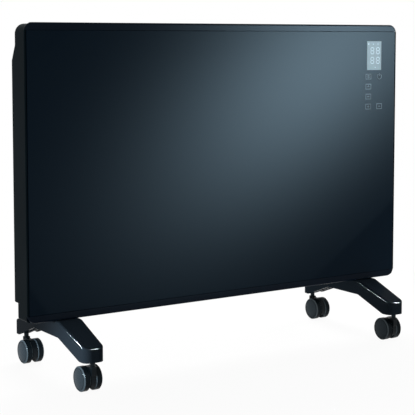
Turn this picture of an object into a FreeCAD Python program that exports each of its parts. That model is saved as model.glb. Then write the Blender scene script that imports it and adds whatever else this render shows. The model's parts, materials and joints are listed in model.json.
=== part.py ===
import FreeCAD, Part
import math
import os
from FreeCAD import Vector

# A black glass panel heater on castors, in millimetres. X runs to the right as seen from the front,
# Y to the back and Z up. The origin is on the floor, midway between the feet and halfway along them.

# Whole heater
panel_width = 760.0
panel_height = 472.0
floor_to_panel = 100.0
front_reach = 38.0
flat_back_depth = 34.5
bulge_depth = 14.0

# Clearances, and how far a cutting tool runs past the face it cuts
seam = 0.3
running_clearance = 0.05
press_clearance = 0.02
screw_clearance = 0.25
overrun = 2.0

# Glass front, its bonding strips and the trim rails above and below it
glass_thickness = 4.0
glass_side_inset = 3.5
glass_edge_round = 0.6
tape_thickness = 0.5
tape_width = 14.0
rail_height = 12.0
rail_corner = 15.0
rail_edge_round = 3.0
rail_lip_depth = 10.0

# Casing, a folded steel tray with a return flange at the back
casing_sheet = 1.0
casing_top_corner = 16.0
casing_low_corner = 5.0
casing_setback = 2.0
casing_flange = 14.0
casing_mouth_corner = 4.0
hem_width = 2.2
hem_setback = 0.5
hem_round = 1.5

# Rear cover, a shell that bulges backwards between a step and a slope
cover_sheet = 1.5
step_rise = 26.0
slope_drop = 29.0
slope_height = 28.5
bulge_round = 2.5
vent_width = 7.0
vent_pitch = 14.0
vent_side_margin = 40.0
outlet_margin = 4.0
inlet_rise = 12.0
inlet_height = 34.0

# Screws that hold the cover to the casing flange
cover_screw_radius = 2.0
cover_screw_head_radius = 4.0
cover_screw_head_height = 1.8
cover_screw_length = 9.0
cover_screw_shares = (-0.9, -0.3, 0.3, 0.9)

# Finned element, its heating core and the brackets that carry the core
element_from_left = 55.0
element_divider_gap = 23.0
element_rise = 88.0
element_tube_radius = 7.0
fin_thickness = 1.8
fin_reach_y = 13.0
fin_reach_z = 31.0
core_radius = 4.0
core_overhang = 16.0
bracket_sheet = 1.2
bracket_height = 60.0
bracket_foot = 14.0
bracket_gap = 6.0
bracket_depth = 30.0

# Heat shield between element and glass, and the wall of the electrical compartment
shield_sheet = 0.8
shield_standoff = 4.0
shield_side_margin = 4.0
shield_rise = 40.0
shield_height = 380.0
divider_from_right = 142.0
divider_sheet = 1.0
divider_foot = 12.0
divider_height = 330.0
divider_hole_margin = 3.0

# Overheat cut-out on the shield
cutout_radius = 8.0
cutout_height = 7.0
cutout_flange_radius = 11.0
cutout_flange = 1.2
cutout_offset = 145.0
cutout_rise = 75.0
cutout_tab_width = 5.0
cutout_tab_length = 7.0
cutout_tab_sheet = 0.8
cutout_tab_spacing = 9.0

# Display and touch keys, measured from the right end and the top of the panel
display_from_right = 54.0
display_from_top = 56.5
display_width = 34.0
display_height = 53.0
display_thickness = 3.5
display_round = 1.0
key_columns_gap = 26.6
key_first_drop = 38.5
key_pitch = 18.4
key_pad_size = 8.0
key_pad_round = 1.5
window_margin = 3.0

# Control board, its posts and guard
board_thickness = 1.6
control_border = 8.0
post_radius = 2.4
guard_wall = 1.5
guard_gap = 4.0
guard_depth = 14.0
guard_round = 3.0

# Power board with its relay and capacitor
power_board_width = 80.0
power_board_height = 90.0
power_board_rise = 48.0
power_post_height = 4.0
relay_width = 20.0
relay_height = 28.0
relay_depth = 15.0
capacitor_radius = 7.0
capacitor_height = 16.0

# Main switch on the back
switch_rise = 158.0
switch_flange_width = 21.0
switch_flange_height = 27.0
switch_flange = 1.6
switch_body_width = 16.0
switch_body_height = 22.0
switch_body_depth = 15.0
switch_wall = 1.6
switch_corner = 1.5
rocker_height = 16.4
rocker_rise = 3.6
rocker_dip = 1.6
rocker_keel = 4.5
rocker_side_gap = 0.4
rocker_pivot_depth = 3.0
rocker_pin_radius = 1.3
rocker_pin_length = 1.2
rocker_tilt = 8.0

# Small parts on the casing floor and the supply entry
tip_switch_size = (18.0, 14.0, 22.0)
tip_switch_round = 2.0
tip_switch_inset = 30.0
sensor_base = (14.0, 8.0, 3.0)
sensor_bead_radius = 2.5
sensor_height = 16.0
sensor_inset = 30.0
terminal_size = (34.0, 14.0, 16.0)
terminal_hole_radius = 2.2
terminal_ways = 3
terminal_rise = 16.0
supply_from_right = 82.0
gland_from_right = 120.0
gland_radius = 8.5
gland_head = 4.0
gland_neck_radius = 6.0
gland_neck_length = 14.0
gland_bore = 3.5
gland_nut_across = 15.0
gland_nut_height = 5.0

# Moulded feet
foot_from_end = 71.0
foot_half_length = 128.0
foot_mid_width = 43.0
foot_end_width = 35.0
foot_corner = 12.0
foot_bottom = 49.0
foot_end_height = 22.0
foot_flat_half = 43.5
foot_arch_rise = 25.0
foot_block_length = 19.5
foot_wall = 3.0
foot_rim_round = 3.0
foot_knee_round = 25.0
foot_block_round = 12.0
foot_crown_round = 15.0
foot_rib = 2.0
foot_rib_shares = (0.32, 0.5, 0.68)
foot_pad_width = 36.0
screw_boss_radius = 6.0
screw_boss_length = 12.0
foot_screw_radius = 2.5
foot_screw_head_radius = 4.5
foot_screw_head_height = 3.5
foot_screw_spacing = 20.0
foot_nut_across = 9.0
foot_nut_height = 4.0

# Twin-wheel castors
stem_from_end = 9.5
castor_trail = 16.0
wheel_radius = 20.0
wheel_width = 11.5
wheel_dome = 1.5
wheel_rim_chamfer = 1.6
wheel_groove_radius = 17.0
wheel_groove_width = 0.8
wheel_groove_depth = 0.8
wheel_hub_radius = 6.0
wheel_recess_radius = 16.0
wheel_recess_depth = 5.0
wheel_bore_depth = 9.0
wheel_side_gap = 0.4
axle_radius = 2.5
axle_end_gap = 0.5
hood_width = 8.2
hood_radius = 19.4
hood_floor = 9.0
hood_neck_front = 5.0
hood_neck_low = 26.0
hood_neck_round = 3.0
hood_collar_radius = 6.0
hood_collar_low = 38.2
hood_collar_top = 41.5
stem_radius = 4.0
stem_tail_radius = 2.5
stem_tail_low = 28.0
stem_insertion = 16.0
castor_boss_radius = 9.0

# Directions
AXIS_X = Vector(1, 0, 0)
AXIS_Y = Vector(0, 1, 0)
AXIS_Z = Vector(0, 0, 1)
parallel_share = 0.9999
tiny = 1e-4

# Planes and places that several pieces share
half_width = panel_width / 2
panel_top = floor_to_panel + panel_height
panel_middle = floor_to_panel + panel_height / 2
front_y = -front_reach
glass_back_y = front_y + glass_thickness
casing_front_y = glass_back_y + tape_thickness
casing_inner_y = casing_front_y + casing_sheet
flat_back_y = front_y + flat_back_depth
cover_front_y = flat_back_y - cover_sheet
bulge_back_y = flat_back_y + bulge_depth
casing_low = floor_to_panel + casing_setback
casing_top = panel_top - casing_setback
casing_floor = casing_low + casing_sheet
rail_lip_back_y = casing_front_y + rail_lip_depth
display_x = half_width - display_from_right
display_z = panel_top - display_from_top
supply_x = half_width - supply_from_right
power_post_y = casing_inner_y + power_post_height
element_y = (casing_inner_y + bulge_back_y) / 2
element_z = casing_low + element_rise
screw_y = (rail_lip_back_y + seam + cover_front_y) / 2
foot_top = floor_to_panel - seam
stem_y = foot_half_length - stem_from_end
foot_x = half_width - foot_from_end
gland_x = half_width - gland_from_right
divider_x = half_width - divider_from_right
element_start_x = element_from_left - half_width
element_end_x = divider_x - element_divider_gap
element_length = element_end_x - element_start_x
element_centre_x = (element_start_x + element_end_x) / 2
cutout_x = element_centre_x + cutout_offset


def block(x, y, z):
    """A box between a low and a high value on each axis."""
    return Part.makeBox(x[1] - x[0], y[1] - y[0], z[1] - z[0], Vector(x[0], y[0], z[0]))


def around(centre, size):
    """Low and high values of a stretch of this size about its centre."""
    return (centre - size / 2, centre + size / 2)


def rod(radius, start, end):
    """A cylinder between two points."""
    return Part.makeCylinder(radius, (end - start).Length, start, end - start)


def prism(points, travel):
    """A polygon pushed along a straight travel."""
    return Part.Face(Part.makePolygon(points + points[:1])).extrude(travel)


def joined(shapes):
    """Several touching solids made into one, without leftover seams."""
    whole = shapes[0]
    for shape in shapes[1:]:
        whole = whole.fuse(shape)
    return whole.removeSplitter()


def edges_along(shape, axis):
    """Straight edges that run along an axis."""
    found = []
    for edge in shape.Edges:
        if isinstance(edge.Curve, Part.Line) and abs(edge.Curve.Direction.dot(axis)) > parallel_share:
            found.append(edge)
    return found


def rounded_block(x, y, z, radius, axis):
    """A box whose edges along one axis are rounded."""
    sharp = block(x, y, z)
    return sharp.makeFillet(radius, edges_along(sharp, axis))


def outline_plate(inset, low_corner, top_corner, z, y):
    """A plate with the panel's width less an inset each side, with rounded corners."""
    reach = half_width - inset
    plate = block((-reach, reach), y, z)
    for radius, height in ((low_corner, z[0]), (top_corner, z[1])):
        corners = [edge for edge in edges_along(plate, AXIS_Y) if abs(edge.CenterOfMass.z - height) < tiny]
        plate = plate.makeFillet(radius, corners)
    return plate


def hexagon(across, centre, height):
    """A hexagonal prism that stands on its centre point."""
    corner = across / math.sqrt(3)
    points = []
    for step in range(6):
        turn = math.radians(60 * step)
        points.append(centre + Vector(corner * math.cos(turn), corner * math.sin(turn), 0))
    return prism(points, AXIS_Z * height)


def glass_panel():
    reach = half_width - glass_side_inset
    low = floor_to_panel + rail_height + seam
    high = panel_top - rail_height - seam
    pane = block((-reach, reach), (front_y, glass_back_y), (low, high))
    front_edges = [edge for edge in pane.Edges if abs(edge.CenterOfMass.y - front_y) < tiny]
    return pane.makeFillet(glass_edge_round, front_edges)


def glass_tape():
    """Four bonding strips round the back of the glass."""
    side = half_width - glass_side_inset
    low = floor_to_panel + rail_height + seam
    high = panel_top - rail_height - seam
    y = (glass_back_y, casing_front_y)
    strips = []
    for left in (-side, side - tape_width):
        strips.append(block((left, left + tape_width), y, (low, high)))
    across = (tape_width + seam - side, side - tape_width - seam)
    for bottom in (low, high - tape_width):
        strips.append(block(across, y, (bottom, bottom + tape_width)))
    return Part.makeCompound(strips)


def top_rail():
    """A strip level with the glass, with a lip that hooks over the casing's edge."""
    low = panel_top - rail_height
    high_z = (floor_to_panel, panel_top)
    whole = outline_plate(0, rail_corner, rail_corner, high_z, (front_y, casing_front_y))
    strip = whole.common(block((-panel_width, panel_width), (front_y, casing_front_y), (low, panel_top)))
    rim = []
    for edge in strip.Edges:
        middle = edge.CenterOfMass
        if abs(middle.y - front_y) < tiny and middle.z > low + tiny:
            rim.append(edge)
    strip = strip.makeFillet(rail_edge_round, rim)
    lip_reach = half_width - rail_corner
    lip_y = (casing_front_y - tape_thickness, rail_lip_back_y)
    lip = block((-lip_reach, lip_reach), lip_y, (casing_top, panel_top))
    return joined([strip, lip])


def bottom_rail():
    return top_rail().mirror(Vector(0, 0, panel_middle), AXIS_Z)


def control_window():
    """Width and height limits of the opening behind the display and keys."""
    widest = max(display_width, key_columns_gap + key_pad_size)
    lowest = display_z - key_first_drop - 3 * key_pitch - key_pad_size / 2
    x = around(display_x, widest + 2 * window_margin)
    z = (lowest - window_margin, display_z + display_height / 2 + window_margin)
    return x, z


def widened(limits, margin):
    """Limits moved apart by a margin at both ends."""
    return (limits[0] - margin, limits[1] + margin)


def cover_screw_places():
    places = []
    for share in cover_screw_shares:
        for z in (casing_low + casing_flange / 2, casing_top - casing_flange / 2):
            places.append((share * half_width, z))
    return places


def foot_screw_places():
    places = []
    for side in (-foot_x, foot_x):
        for offset in around(0, foot_screw_spacing):
            places.append((side + offset, screw_y))
    return places


def side_hem(side):
    """The casing's side edge, doubled over and brought forward beside the glass."""
    x = sorted((side * half_width, side * (half_width - hem_width)))
    z = (floor_to_panel + rail_height + seam, panel_top - rail_height - seam)
    hem = block(x, (front_y + hem_setback, casing_inner_y), z)
    outer_edge = []
    for edge in edges_along(hem, AXIS_Z):
        middle = edge.CenterOfMass
        if abs(middle.x - side * half_width) < tiny and middle.y < glass_back_y:
            outer_edge.append(edge)
    return hem.makeFillet(hem_round, outer_edge)


def casing():
    outer_y = (casing_front_y, cover_front_y)
    outer = outline_plate(0, casing_low_corner, casing_top_corner, (casing_low, casing_top), outer_y)
    inner_z = (casing_floor, casing_top - casing_sheet)
    inner_y = (casing_inner_y, cover_front_y - casing_sheet)
    inner_corners = (casing_low_corner - casing_sheet, casing_top_corner - casing_sheet)
    inner = outline_plate(casing_sheet, *inner_corners, inner_z, inner_y)
    mouth_z = (casing_low + casing_flange, casing_top - casing_flange)
    mouth_y = (cover_front_y - casing_sheet - overrun, cover_front_y + overrun)
    mouth = outline_plate(casing_flange, casing_mouth_corner, casing_mouth_corner, mouth_z, mouth_y)
    tray = joined([outer.cut(inner).cut(mouth), side_hem(-1), side_hem(1)])
    window_x, window_z = control_window()
    window_y = widened((casing_front_y, casing_inner_y), overrun)
    cuts = [rounded_block(window_x, window_y, window_z, window_margin, AXIS_Y)]
    for x, z in cover_screw_places():
        start = Vector(x, cover_front_y - casing_sheet - overrun, z)
        cuts.append(rod(cover_screw_radius + screw_clearance, start, Vector(x, cover_front_y + overrun, z)))
    for x, y in foot_screw_places():
        start = Vector(x, y, casing_low - overrun)
        cuts.append(rod(foot_screw_radius + screw_clearance, start, Vector(x, y, casing_floor + overrun)))
    gland_start = Vector(gland_x, screw_y, casing_low - overrun)
    gland_end = Vector(gland_x, screw_y, casing_floor + overrun)
    cuts.append(rod(gland_neck_radius + screw_clearance, gland_start, gland_end))
    return tray.cut(cuts)


def bulge_profile(inset, front, x):
    """Side outline of the bulge, drawn in from its outer faces by an inset."""
    step_z = casing_low + step_rise
    slope_top = casing_top - slope_drop
    slope_length = math.hypot(bulge_depth, slope_height)
    slope_shift = inset * slope_length / bulge_depth
    back = bulge_back_y - inset
    rise_per_depth = slope_height / bulge_depth
    top_at_back = slope_top - slope_shift - (back - flat_back_y) * rise_per_depth
    top_at_front = slope_top - slope_shift - (front - flat_back_y) * rise_per_depth
    return [
        Vector(x, front, step_z + inset),
        Vector(x, back, step_z + inset),
        Vector(x, back, top_at_back),
        Vector(x, front, top_at_front),
    ]


def vent_cuts():
    """Slots through the slope, and through the back and the step near the bottom."""
    span = panel_width - 2 * vent_side_margin
    count = int(span / vent_pitch) + 1
    first = -(count - 1) * vent_pitch / 2
    slope_top = casing_top - slope_drop
    outlet_z = (slope_top - slope_height + outlet_margin, slope_top - outlet_margin)
    inlet_low = casing_low + step_rise + inlet_rise
    back_y = (bulge_back_y - cover_sheet - overrun, bulge_back_y + overrun)
    cuts = []
    for index in range(count):
        x = around(first + index * vent_pitch, vent_width)
        cuts.append(block(x, (flat_back_y, bulge_back_y + overrun), outlet_z))
        cuts.append(block(x, back_y, (inlet_low, inlet_low + inlet_height)))
    return cuts


def rear_cover():
    plate_y = (cover_front_y, flat_back_y)
    plate = outline_plate(0, casing_low_corner, casing_top_corner, (casing_low, casing_top), plate_y)
    outer = prism(bulge_profile(0, flat_back_y - cover_sheet / 2, -half_width), AXIS_X * panel_width)
    rounded = []
    for edge in outer.Edges:
        if edge.CenterOfMass.y > flat_back_y + bulge_round:
            rounded.append(edge)
        elif abs(abs(edge.CenterOfMass.x) - half_width) < tiny and edge.CenterOfMass.y > flat_back_y:
            rounded.append(edge)
    outer = outer.makeFillet(bulge_round, rounded)
    inner_outline = bulge_profile(cover_sheet, cover_front_y - overrun, cover_sheet - half_width)
    hollow = prism(inner_outline, AXIS_X * (panel_width - 2 * cover_sheet))
    shell = plate.fuse(outer).removeSplitter().cut(hollow).cut(vent_cuts())
    cuts = []
    for x, z in cover_screw_places():
        start = Vector(x, cover_front_y - overrun, z)
        cuts.append(rod(cover_screw_radius + screw_clearance, start, Vector(x, flat_back_y + overrun, z)))
    switch_y = (bulge_back_y - cover_sheet - overrun, bulge_back_y + overrun)
    opening_x = widened(around(supply_x, switch_body_width), screw_clearance)
    opening_z = widened(around(casing_low + switch_rise, switch_body_height), screw_clearance)
    cuts.append(block(opening_x, switch_y, opening_z))
    return shell.cut(cuts)


def cover_screws():
    screws = []
    for x, z in cover_screw_places():
        seat = Vector(x, flat_back_y, z)
        shank = rod(cover_screw_radius, seat - AXIS_Y * cover_screw_length, seat)
        head = rod(cover_screw_head_radius, seat, seat + AXIS_Y * cover_screw_head_height)
        screws.append(joined([shank, head]))
    return Part.makeCompound(screws)


def heating_element():
    """Extruded fins in an X about a tube that holds the core."""
    centre_start = Vector(element_centre_x - element_length / 2, element_y, element_z)
    travel = AXIS_X * element_length
    past_end = AXIS_X * overrun
    body = [rod(element_tube_radius, centre_start, centre_start + travel)]
    half = fin_thickness / 2
    length = math.hypot(fin_reach_y, fin_reach_z)
    across = Vector(0, fin_reach_z / length, -fin_reach_y / length) * half
    for side in (1, -1):
        tip = Vector(0, side * fin_reach_y, fin_reach_z)
        skew = Vector(0, across.y, side * across.z)
        points = [centre_start + corner for corner in (tip + skew, tip - skew, -tip - skew, -tip + skew)]
        body.append(prism(points, travel))
    bore = rod(core_radius + press_clearance, centre_start - past_end, centre_start + travel + past_end)
    return joined(body).cut(bore)


def element_core():
    start = Vector(element_centre_x - element_length / 2 - core_overhang, element_y, element_z)
    return rod(core_radius, start, start + AXIS_X * (element_length + 2 * core_overhang))


def element_bracket(side):
    """An upright plate with a foot on the casing and a hole for the core's end."""
    face = element_centre_x + side * (element_length / 2 + bracket_gap)
    x = sorted((face, face + side * bracket_sheet))
    z = around(element_z, bracket_height)
    web = block(x, (casing_inner_y, casing_inner_y + bracket_depth), z)
    foot_side = sorted((face, face - side * bracket_foot))
    foot = block(foot_side, (casing_inner_y, casing_inner_y + bracket_sheet), z)
    hole_start = Vector(x[0] - overrun, element_y, element_z)
    hole = rod(core_radius + running_clearance, hole_start, Vector(x[1] + overrun, element_y, element_z))
    return joined([web, foot]).cut(hole)


def heat_shield():
    """A sheet stood off the casing by folded edges at its top and bottom."""
    reach = element_length / 2 + bracket_gap - bracket_foot - shield_side_margin
    x = (element_centre_x - reach, element_centre_x + reach)
    z = (casing_low + shield_rise, casing_low + shield_rise + shield_height)
    back = casing_inner_y + shield_standoff
    channel = block(x, (casing_inner_y, back), z)
    hollow_x = widened(x, overrun)
    hollow_z = (z[0] + shield_sheet, z[1] - shield_sheet)
    return channel.cut(block(hollow_x, (casing_inner_y - overrun, back - shield_sheet), hollow_z))


def divider_wall():
    """An upright sheet with a foot on the casing, between the hot chamber and the electrics."""
    x = (divider_x, divider_x + divider_sheet)
    z = (casing_floor + seam, casing_floor + divider_height)
    web = block(x, (casing_inner_y, cover_front_y - casing_sheet - seam), z)
    foot_z = (casing_floor + gland_neck_length, casing_floor + divider_height)
    foot_y = (casing_inner_y, casing_inner_y + divider_sheet)
    foot = block((divider_x - divider_foot, divider_x), foot_y, foot_z)
    centre = Vector(divider_x - overrun, element_y, element_z)
    through = AXIS_X * (divider_sheet + 2 * overrun)
    passage = rod(core_radius + divider_hole_margin, centre, centre + through)
    return joined([web, foot]).cut(passage)


def thermal_cutout():
    """A round capsule on a flange, with two blade terminals."""
    seat_y = casing_inner_y + shield_standoff
    centre = Vector(cutout_x, seat_y, element_z + cutout_rise)
    flange = rod(cutout_flange_radius, centre, centre + AXIS_Y * cutout_flange)
    capsule = rod(cutout_radius, centre, centre + AXIS_Y * cutout_height)
    pieces = [flange, capsule]
    blade_y = (seat_y + cutout_height, seat_y + cutout_height + cutout_tab_length)
    for offset in around(0, cutout_tab_spacing):
        x = around(cutout_x + offset, cutout_tab_sheet)
        pieces.append(block(x, blade_y, around(centre.z, cutout_tab_width)))
    return joined(pieces)


def display_module():
    y = (glass_back_y, glass_back_y + display_thickness)
    x = around(display_x, display_width)
    return rounded_block(x, y, around(display_z, display_height), display_round, AXIS_Y)


def touch_pads():
    """Sensing pads between the glass and the board: a full left column, and two on the right."""
    y = (glass_back_y, glass_back_y + display_thickness)
    left, right = around(display_x, key_columns_gap)
    first = display_z - key_first_drop
    pads = []
    for column, rows in ((left, (0, 1, 2, 3)), (right, (0, 3))):
        for row in rows:
            z = around(first - row * key_pitch, key_pad_size)
            pads.append(rounded_block(around(column, key_pad_size), y, z, key_pad_round, AXIS_Y))
    return Part.makeCompound(pads)


def control_limits():
    window_x, window_z = control_window()
    return widened(window_x, control_border), widened(window_z, control_border)


def corner_places(x, z, inset):
    places = []
    for px in widened(x, -inset):
        for pz in widened(z, -inset):
            places.append((px, pz))
    return places


def control_board():
    front = glass_back_y + display_thickness
    x, z = control_limits()
    return block(x, (front, front + board_thickness), z)


def posts(places, back_y):
    """Round spacers between the casing's front sheet and a board."""
    spacers = []
    for x, z in places:
        spacers.append(rod(post_radius, Vector(x, casing_inner_y, z), Vector(x, back_y, z)))
    return Part.makeCompound(spacers)


def control_posts():
    x, z = control_limits()
    return posts(corner_places(x, z, control_border / 2), glass_back_y + display_thickness)


def control_cover():
    """A guard box over the control board, open towards the casing's front sheet."""
    x, z = control_limits()
    y = (casing_inner_y, casing_inner_y + guard_depth)
    outer_margin = guard_gap + guard_wall
    outer = rounded_block(widened(x, outer_margin), y, widened(z, outer_margin), guard_round, AXIS_Y)
    inner_y = (casing_inner_y - overrun, y[1] - guard_wall)
    inner_x = widened(x, guard_gap)
    inner_z = widened(z, guard_gap)
    return outer.cut(rounded_block(inner_x, inner_y, inner_z, guard_round - guard_wall, AXIS_Y))


def power_board_limits():
    low = casing_low + power_board_rise
    return around(supply_x, power_board_width), (low, low + power_board_height)


def power_board():
    """A relay board with its relay and a capacitor."""
    x, z = power_board_limits()
    back = power_post_y + board_thickness
    board = block(x, (power_post_y, back), z)
    relay_z = around(z[0] + power_board_height / 4, relay_height)
    relay = block(around(supply_x, relay_width), (back, back + relay_depth), relay_z)
    foot = Vector(supply_x, back, z[0] + power_board_height * 3 / 4)
    capacitor = rod(capacitor_radius, foot, foot + AXIS_Y * capacitor_height)
    return joined([board, relay, capacitor])


def power_posts():
    x, z = power_board_limits()
    return posts(corner_places(x, z, control_border / 2), power_post_y)


def tip_over_switch():
    width, depth, height = tip_switch_size
    x = around(half_width - tip_switch_inset, width)
    y = (casing_inner_y, casing_inner_y + depth)
    return rounded_block(x, y, (casing_floor, casing_floor + height), tip_switch_round, AXIS_Z)


def room_sensor():
    """A bead on a stalk, clipped to the casing floor by the air inlet."""
    width, depth, height = sensor_base
    x = sensor_inset - half_width
    base = block(around(x, width), around(screw_y, depth), (casing_floor, casing_floor + height))
    tip = Vector(x, screw_y, casing_floor + sensor_height)
    stalk = rod(sensor_bead_radius, Vector(x, screw_y, casing_floor), tip)
    bead = Part.makeSphere(sensor_bead_radius, tip)
    return joined([base, stalk, bead])


def terminal_block():
    width, depth, height = terminal_size
    x = around(supply_x, width)
    z = (casing_floor + terminal_rise, casing_floor + terminal_rise + height)
    body = block(x, (casing_inner_y, casing_inner_y + depth), z)
    holes = []
    for way in range(terminal_ways):
        hole_x = x[0] + width * (way + 0.5) / terminal_ways
        start = Vector(hole_x, casing_inner_y + depth / 2, z[0] - overrun)
        holes.append(rod(terminal_hole_radius, start, start + AXIS_Z * (height + 2 * overrun)))
    return body.cut(holes)


def cable_gland():
    """The supply entry in the casing floor: a head below, a neck through, a bore for the cord."""
    low = Vector(gland_x, screw_y, casing_low - gland_head)
    head = rod(gland_radius, low, low + AXIS_Z * gland_head)
    top = low + AXIS_Z * (gland_head + gland_neck_length)
    neck = rod(gland_neck_radius, low, top)
    bore = rod(gland_bore, low - AXIS_Z * overrun, top + AXIS_Z * overrun)
    return joined([head, neck]).cut(bore)


def gland_nut():
    seat = Vector(gland_x, screw_y, casing_floor)
    nut = hexagon(gland_nut_across, seat, gland_nut_height)
    return nut.cut(rod(gland_neck_radius + press_clearance, seat, seat + AXIS_Z * gland_nut_height))


def switch_centre():
    """The rocker's pivot, set into the switch below its flange."""
    return Vector(supply_x, bulge_back_y + switch_flange - rocker_pivot_depth, casing_low + switch_rise)


def switch_housing():
    """A snap-in switch body with a flange on the cover and a well for the rocker."""
    centre = switch_centre()
    face_y = bulge_back_y + switch_flange
    flange_x = around(centre.x, switch_flange_width)
    flange_z = around(centre.z, switch_flange_height)
    flange = rounded_block(flange_x, (bulge_back_y, face_y), flange_z, switch_corner, AXIS_Y)
    body_y = (bulge_back_y - switch_body_depth, bulge_back_y)
    body = block(around(centre.x, switch_body_width), body_y, around(centre.z, switch_body_height))
    well_x = around(centre.x, switch_body_width - 2 * switch_wall)
    well_z = around(centre.z, switch_body_height - 2 * switch_wall)
    well = block(well_x, (body_y[0] + switch_wall, face_y + overrun), well_z)
    reach = AXIS_X * (switch_body_width / 2 - switch_wall + rocker_pin_length + seam)
    pivot = rod(rocker_pin_radius + running_clearance, centre - reach, centre + reach)
    return joined([flange, body]).cut([well, pivot])


def power_rocker():
    """A dished rocker on two pivot pins, at rest in its off position."""
    centre = switch_centre()
    half = rocker_height / 2
    top = rocker_pivot_depth + rocker_rise
    dip = rocker_pivot_depth + rocker_dip
    width = switch_body_width - 2 * switch_wall - 2 * rocker_side_gap
    lower = [(-rocker_keel, -half / 2), (0, -half), (top, -half)]
    upper = [(out, -up) for out, up in reversed(lower)]
    start = centre - AXIS_X * (width / 2)
    points = [start + Vector(0, out, up) for out, up in lower + [(dip, 0)] + upper]
    paddle = prism(points, AXIS_X * width)
    reach = AXIS_X * (switch_body_width / 2 - switch_wall + rocker_pin_length)
    rocker = joined([paddle, rod(rocker_pin_radius, centre - reach, centre + reach)])
    rocker.rotate(centre, AXIS_X, -rocker_tilt)
    return rocker


def foot_plan(inset, z):
    """Plan of a foot: straight in the middle, tapered to rounded ends."""
    length = foot_half_length - inset
    middle = foot_mid_width / 2 - inset
    end = foot_end_width / 2 - inset
    right = [(end, -length), (middle, -foot_flat_half), (middle, foot_flat_half), (end, length)]
    left = [(-x, y) for x, y in reversed(right)]
    plan = prism([Vector(x, y, z[0]) for x, y in right + left], AXIS_Z * (z[1] - z[0]))
    ends = [edge for edge in edges_along(plan, AXIS_Z) if abs(edge.CenterOfMass.y) > length - tiny]
    return plan.makeFillet(foot_corner - inset, ends)


def foot_top_at(y):
    """Height of the foot's top at a place along it."""
    past_flat = max(abs(y) - foot_flat_half, 0)
    fall = foot_top - foot_bottom - foot_end_height
    return foot_top - fall * past_flat / (foot_half_length - foot_flat_half)


def foot_underside_at(y):
    """Height of the arched underside at a place along the foot."""
    leg = foot_half_length - foot_block_length - foot_flat_half
    fall = min(max((abs(y) - foot_flat_half) / leg, 0), 1)
    return foot_bottom + foot_arch_rise * (1 - fall)


def foot_outer():
    """The foot's outside: its side profile, cut to the plan, with a rounded rim."""
    open_half = foot_half_length - foot_block_length
    stations = (-foot_half_length, -foot_flat_half, foot_flat_half, foot_half_length)
    top = [Vector(-foot_mid_width, y, foot_top_at(y)) for y in stations]
    under_half = (foot_half_length, open_half, foot_flat_half)
    under_stations = under_half + tuple(-y for y in reversed(under_half))
    under = [Vector(-foot_mid_width, y, foot_underside_at(y)) for y in under_stations]
    side = prism(top + under, AXIS_X * (2 * foot_mid_width))
    for radius, at, z in (
        (foot_knee_round, foot_flat_half, foot_top),
        (foot_crown_round, foot_flat_half, foot_bottom + foot_arch_rise),
        (foot_block_round, open_half, foot_bottom),
    ):
        creases = []
        for edge in edges_along(side, AXIS_X):
            middle = edge.CenterOfMass
            if abs(abs(middle.y) - at) < tiny and abs(middle.z - z) < tiny:
                creases.append(edge)
        side = side.makeFillet(radius, creases)
    outer = side.common(foot_plan(0, (foot_bottom - overrun, foot_top + overrun)))
    rim = []
    for edge in outer.Edges:
        middle = edge.CenterOfMass
        upper = middle.z > (foot_top_at(middle.y) + foot_underside_at(middle.y)) / 2
        crossing = abs(middle.x) < tiny and abs(middle.y) < foot_half_length - tiny
        if upper and not crossing:
            rim.append(edge)
    return outer.makeFillet(foot_rim_round, rim)


def foot_hollow():
    """The space under the foot's top wall, open downwards."""
    inner_half = foot_half_length - foot_wall
    stations = (-inner_half, -foot_flat_half, foot_flat_half, inner_half)
    top = [Vector(-foot_mid_width, y, foot_top_at(y) - foot_wall) for y in stations]
    low = foot_bottom - overrun
    floor_points = [Vector(-foot_mid_width, inner_half, low), Vector(-foot_mid_width, -inner_half, low)]
    side = prism(top + floor_points, AXIS_X * (2 * foot_mid_width))
    return side.common(foot_plan(foot_wall, (low, foot_top)))


def foot(centre_x):
    """A moulded foot: an arched shell with ribs, castor bosses, screw bosses and a seat pad."""
    outer = foot_outer()
    shell = outer.cut(foot_hollow())
    long_x = (-foot_mid_width, foot_mid_width)
    long_y = (-foot_half_length, foot_half_length)
    high_z = (foot_bottom, foot_top)
    inside = [block(around(0, foot_rib), long_y, high_z)]
    for share in foot_rib_shares:
        for y in (-share * foot_half_length, share * foot_half_length):
            inside.append(block(long_x, around(y, foot_rib), high_z))
    for y in (-stem_y, stem_y):
        inside.append(rod(castor_boss_radius, Vector(0, y, foot_bottom), Vector(0, y, foot_top)))
    boss_low = foot_top - foot_wall - screw_boss_length
    for x in around(0, foot_screw_spacing):
        inside.append(rod(screw_boss_radius, Vector(x, screw_y, boss_low), Vector(x, screw_y, foot_top)))
    pieces = [shell] + [piece.common(outer) for piece in inside]
    pad_y = (rail_lip_back_y + seam, cover_front_y)
    pieces.append(block(around(0, foot_pad_width), pad_y, (foot_top - foot_wall, casing_low)))
    body = joined(pieces)
    cuts = []
    for y in (-stem_y, stem_y):
        start = Vector(0, y, foot_bottom - overrun)
        end = Vector(0, y, foot_bottom + stem_insertion + seam)
        cuts.append(rod(stem_radius + press_clearance, start, end))
    for x in around(0, foot_screw_spacing):
        start = Vector(x, screw_y, foot_bottom)
        end = Vector(x, screw_y, casing_low + overrun)
        cuts.append(rod(foot_screw_radius + screw_clearance, start, end))
    body = body.cut(cuts)
    body.translate(AXIS_X * centre_x)
    return body


def foot_screws():
    seat = foot_top - foot_wall - screw_boss_length
    tip = casing_floor + foot_nut_height + overrun
    screws = []
    for x, y in foot_screw_places():
        head = rod(foot_screw_head_radius, Vector(x, y, seat - foot_screw_head_height), Vector(x, y, seat))
        screws.append(joined([head, rod(foot_screw_radius, Vector(x, y, seat), Vector(x, y, tip))]))
    return Part.makeCompound(screws)


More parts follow.
